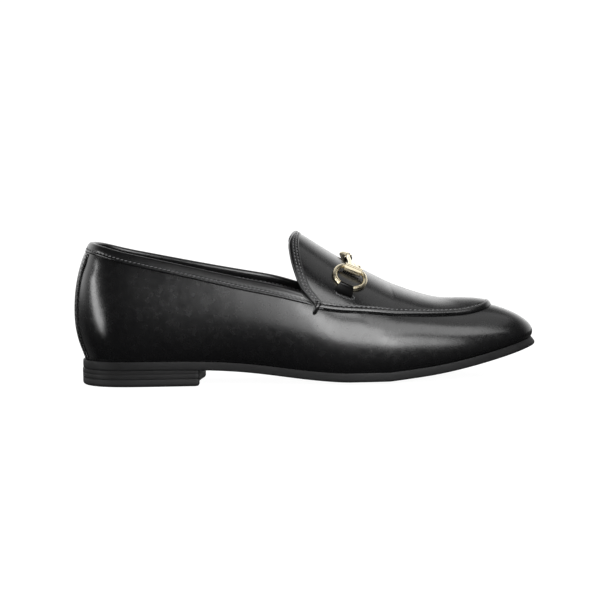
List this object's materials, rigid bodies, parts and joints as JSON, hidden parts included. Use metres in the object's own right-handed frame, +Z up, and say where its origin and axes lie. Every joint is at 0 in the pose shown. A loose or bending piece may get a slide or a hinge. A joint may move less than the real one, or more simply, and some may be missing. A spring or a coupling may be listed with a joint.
{
  "type": "bit loafer",
  "caption": "Women's right-foot loafer with an apron that rises to a standing tongue, a metal snaffle bit across the instep, a leather sole and a low stacked heel.",
  "frame": {"origin": "centre of the heel's underside, on the floor", "axes": "+X towards the toe, +Y towards the inner (medial) side of the right foot, +Z up; the shoe stands on the plane z = 0"},
  "size_m": [0.264, 0.0888, 0.0861],
  "materials": {
    "upper_calf": "polished black calf, satin to gloss, very fine grain",
    "sole_leather": "black-dyed leather edge, matte, with fine streaks along it",
    "top_lift_rubber": "matte",
    "lining_leather": "dark matte lining",
    "bit_metal": "pale gold plating, polished"
  },
  "bodies": {
    "root": {"outsole": "sole_leather", "heel_stack": "sole_leather", "top_lift": "top_lift_rubber", "insole": "lining_leather", "upper": "upper_calf", "apron": "upper_calf", "collar_band": "upper_calf", "back_strap": "upper_calf", "bit_ring_lateral": "bit_metal", "bit_ring_medial": "bit_metal", "bit_link_lateral": "bit_metal", "bit_link_medial": "bit_metal", "bit_tab_lateral": "upper_calf", "bit_tab_medial": "upper_calf", "thong_tie_lateral": "upper_calf", "thong_tie_medial": "upper_calf"}
  },
  "joints": []
}
